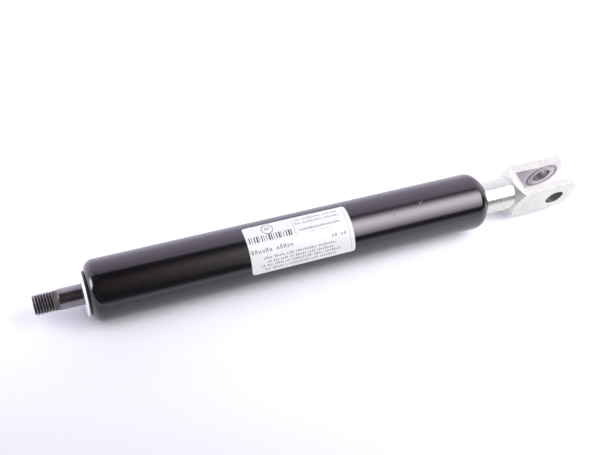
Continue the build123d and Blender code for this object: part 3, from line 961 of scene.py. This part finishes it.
def softbox():
    """The key light, beside the camera: bright at its middle, with a dim warm tail towards the rod."""
    out, sideways = around_strut(SOFTBOX_MIDDLE)
    reach = tan(radians(SOFTBOX_HALF))
    length = SOFTBOX_RIGHT - SOFTBOX_LEFT
    middle = out * SOFTBOX_DISTANCE + ALONG_X * (SOFTBOX_LEFT + length / 2)
    corners = card_corners(middle, sideways * SOFTBOX_DISTANCE * reach, ALONG_X * length / 2)
    across = []
    for angle, level in SOFTBOX_ACROSS:
        across.append((0.5 + 0.5 * tan(radians(angle - SOFTBOX_MIDDLE)) / reach, grey(level)))
    along = [((x - SOFTBOX_LEFT) / length, colour) for x, colour in SOFTBOX_ALONG]
    emitter("softbox", corners, SOFTBOX_GLOW, across, along)


SIDE_LIGHT_DIRECTION = Vector((-0.969, 0.24, 0.052))
SIDE_LIGHT_DISTANCE = 0.9
SIDE_LIGHT_HALF_WIDTH = 0.21
SIDE_LIGHT_HALF_HEIGHT = 0.5
SIDE_LIGHT_GLOW = 10.0
SIDE_LIGHT_FADE = ((0.0, grey(0.0)), (0.3, grey(1.0)), (0.7, grey(1.0)), (1.0, grey(0.0)))


def side_light():
    """A small light low down off the rod's end."""
    direction = SIDE_LIGHT_DIRECTION.normalized()
    middle = ALONG_X * tube_low.x + direction * SIDE_LIGHT_DISTANCE
    across = direction.cross(ALONG_Z).normalized() * SIDE_LIGHT_HALF_WIDTH
    corners = card_corners(middle, across, ALONG_Z * SIDE_LIGHT_HALF_HEIGHT)
    emitter("side_light", corners, SIDE_LIGHT_GLOW, SIDE_LIGHT_FADE, SIDE_LIGHT_FADE)


FILL_MIDDLE = Vector((-0.5, 0.0, 0.8))
FILL_HALF = 0.3
FILL_GLOW = 2.4
FILL_TINT = ((0.0, (1.0, 0.97, 1.06, 1)),)


def overhead_fill():
    """A soft light above the rod's end, kept out of the reflections."""
    corners = card_corners(FILL_MIDDLE, ALONG_Y * FILL_HALF, ALONG_X * FILL_HALF)
    emitter("overhead_fill", corners, FILL_GLOW, FILL_TINT, reflected=False)


FRONT_FILL_ANGLE = 147.0
FRONT_FILL_DISTANCE = 1.2
FRONT_FILL_HALF = 0.5
FRONT_FILL_GLOW = 1.0


def front_fill():
    """A wide soft light low on the camera's side, kept out of the reflections."""
    out, sideways = around_strut(FRONT_FILL_ANGLE)
    middle = out * FRONT_FILL_DISTANCE + ALONG_X * tube_low.x
    corners = card_corners(middle, sideways * FRONT_FILL_HALF, ALONG_X * FRONT_FILL_HALF)
    emitter("front_fill", corners, FRONT_FILL_GLOW, FILL_TINT, reflected=False)


# The walls fade from their low level to their high one as the angle above +Y grows; the dark ceiling
# runs from DARK_FROM to DARK_TO degrees, and starts earlier further along +X.
WALL_GLOW = (1.27, 1.2, 1.42, 1)
WALL_LOW_LEVEL = 1.2
WALL_HIGH_LEVEL = 0.82
WALL_HIGH_ANGLE = 60.0
DARK_GLOW = (0.085, 0.08, 0.088, 1)
BACKDROP_GLOW = (1.0, 1.0, 1.0, 1)
DARK_FROM = 53.0
DARK_FROM_PER_X = 60.0
DARK_FROM_EDGE = 13.0
DARK_TO = 170.0
DARK_TO_EDGE = 8.0


def studio_world():
    """White walls with a dark ceiling above the camera's side, and a white backdrop behind the floor."""
    world = bpy.data.worlds.new("studio")
    bpy.context.scene.world = world
    world.use_nodes = True
    world.node_tree.nodes.clear()
    w = Nodes(world.node_tree)
    x, y, z = w.parts(w.add("ShaderNodeTexCoord").outputs["Generated"])
    angle = w.times(w.maths("ARCTAN2", z, y), degrees(1.0))
    tilted = w.times_plus(w.maths("MAXIMUM", x, 0.0), -DARK_FROM_PER_X, angle)
    above = w.spread(tilted, DARK_FROM - DARK_FROM_EDGE, DARK_FROM + DARK_FROM_EDGE, smooth=True)
    dark = w.times(above, w.below(angle, DARK_TO - DARK_TO_EDGE, DARK_TO + DARK_TO_EDGE, smooth=True))
    height = w.spread(tilted, 0.0, WALL_HIGH_ANGLE, WALL_LOW_LEVEL, WALL_HIGH_LEVEL, smooth=True)
    level = w.add("ShaderNodeCombineColor")
    for socket in level.inputs:
        w.link(height, socket)
    wall = w.mix(1.0, level.outputs[0], WALL_GLOW, "MULTIPLY")
    surroundings = w.mix(dark, wall, DARK_GLOW)
    seen = w.mix(w.add("ShaderNodeLightPath").outputs["Is Camera Ray"], surroundings, BACKDROP_GLOW)
    background = w.add("ShaderNodeBackground")
    w.link(seen, background.inputs["Color"])
    w.link(background.outputs[0], w.add("ShaderNodeOutputWorld").inputs["Surface"])


FLOOR_HALF = 4.0
FLOOR_ROUGHNESS = 0.6
FLOOR_COLOUR = (0.83, 0.84, 0.9, 1)
# Painted shade: the floor's colour darkens towards the front.
FLOOR_NEAR_SHADE = (0.73, 0.74, 0.775, 1)
FLOOR_FRONT_SHADE = (0.573, 0.58, 0.592, 1)
FLOOR_FALL_PER_X = 0.264
FLOOR_NEAR_START = -0.075
FLOOR_NEAR_END = -0.1
FLOOR_FRONT_END = -0.165
FLOOR_SWEEP_START = 0.35
FLOOR_SWEEP_END = 1.1
# A painted glow on the floor just behind the strut lifts its shadow there.
FLOOR_BACK_START = -0.005
FLOOR_BACK_END = 0.035


def table_top():
    """A pale matt material with painted shade towards the front, that glows like the walls behind and far
    out; the glow behind the strut paints out its shadow there.
    """
    s = Shader("floor", {"Roughness": FLOOR_ROUGHNESS, "Emission Strength": WALL_LOW_LEVEL})
    x, y, _ = s.xyz()
    forward = s.times_plus(x, FLOOR_FALL_PER_X, y)
    near = s.below(forward, FLOOR_NEAR_END, FLOOR_NEAR_START)
    front = s.below(forward, FLOOR_FRONT_END, FLOOR_NEAR_END)
    around = s.spread(s.away_from((0, 0, FLOOR_Z)), FLOOR_SWEEP_START, FLOOR_SWEEP_END, smooth=True)
    behind = s.spread(y, FLOOR_BACK_START, FLOOR_BACK_END, smooth=True)
    far = s.maths("MAXIMUM", around, behind)
    shaded = s.mix(front, s.mix(near, FLOOR_COLOUR, FLOOR_NEAR_SHADE), FLOOR_FRONT_SHADE)
    s.colour(s.mix(far, shaded, grey(0.0)))
    s.link(s.mix(far, grey(0.0), WALL_GLOW), s.bsdf.inputs["Emission Color"])
    return s.material


def floor_plane():
    """The floor, touching the tube."""
    corners = card_corners(ALONG_Z * FLOOR_Z, ALONG_X * FLOOR_HALF, ALONG_Y * FLOOR_HALF)
    mesh_object("floor", corners, CARD_FACE, table_top())


CAMERA_AIM = Vector((-0.14271, 0.00783, 0.0))
CAMERA_AZIMUTH = -34.22
CAMERA_ELEVATION = 57.0
CAMERA_DISTANCE = 0.41944
CAMERA_ROLL = 16.5
CAMERA_LENS = 50.165
CAMERA_NEAR = 0.01
CAMERA_FAR = 20.0


def camera():
    """The main view; azimuth 0 looks along +Y."""
    azimuth, elevation = radians(CAMERA_AZIMUTH), radians(CAMERA_ELEVATION)
    back = Vector((sin(azimuth) * cos(elevation), -cos(azimuth) * cos(elevation), sin(elevation)))
    data = bpy.data.cameras.new("camera")
    data.lens = CAMERA_LENS
    data.clip_start = CAMERA_NEAR
    data.clip_end = CAMERA_FAR
    eye = bpy.data.objects.new("camera", data)
    bpy.context.scene.collection.objects.link(eye)
    roll = Matrix.Rotation(radians(CAMERA_ROLL), 4, "Z")
    turn = (-back).to_track_quat("-Z", "Y").to_matrix().to_4x4() @ roll
    eye.matrix_world = Matrix.Translation(CAMERA_AIM + back * CAMERA_DISTANCE) @ turn
    bpy.context.scene.camera = eye


softbox()
side_light()
overhead_fill()
front_fill()
studio_world()
floor_plane()
camera()
bpy.context.scene.view_settings.view_transform = "Standard"
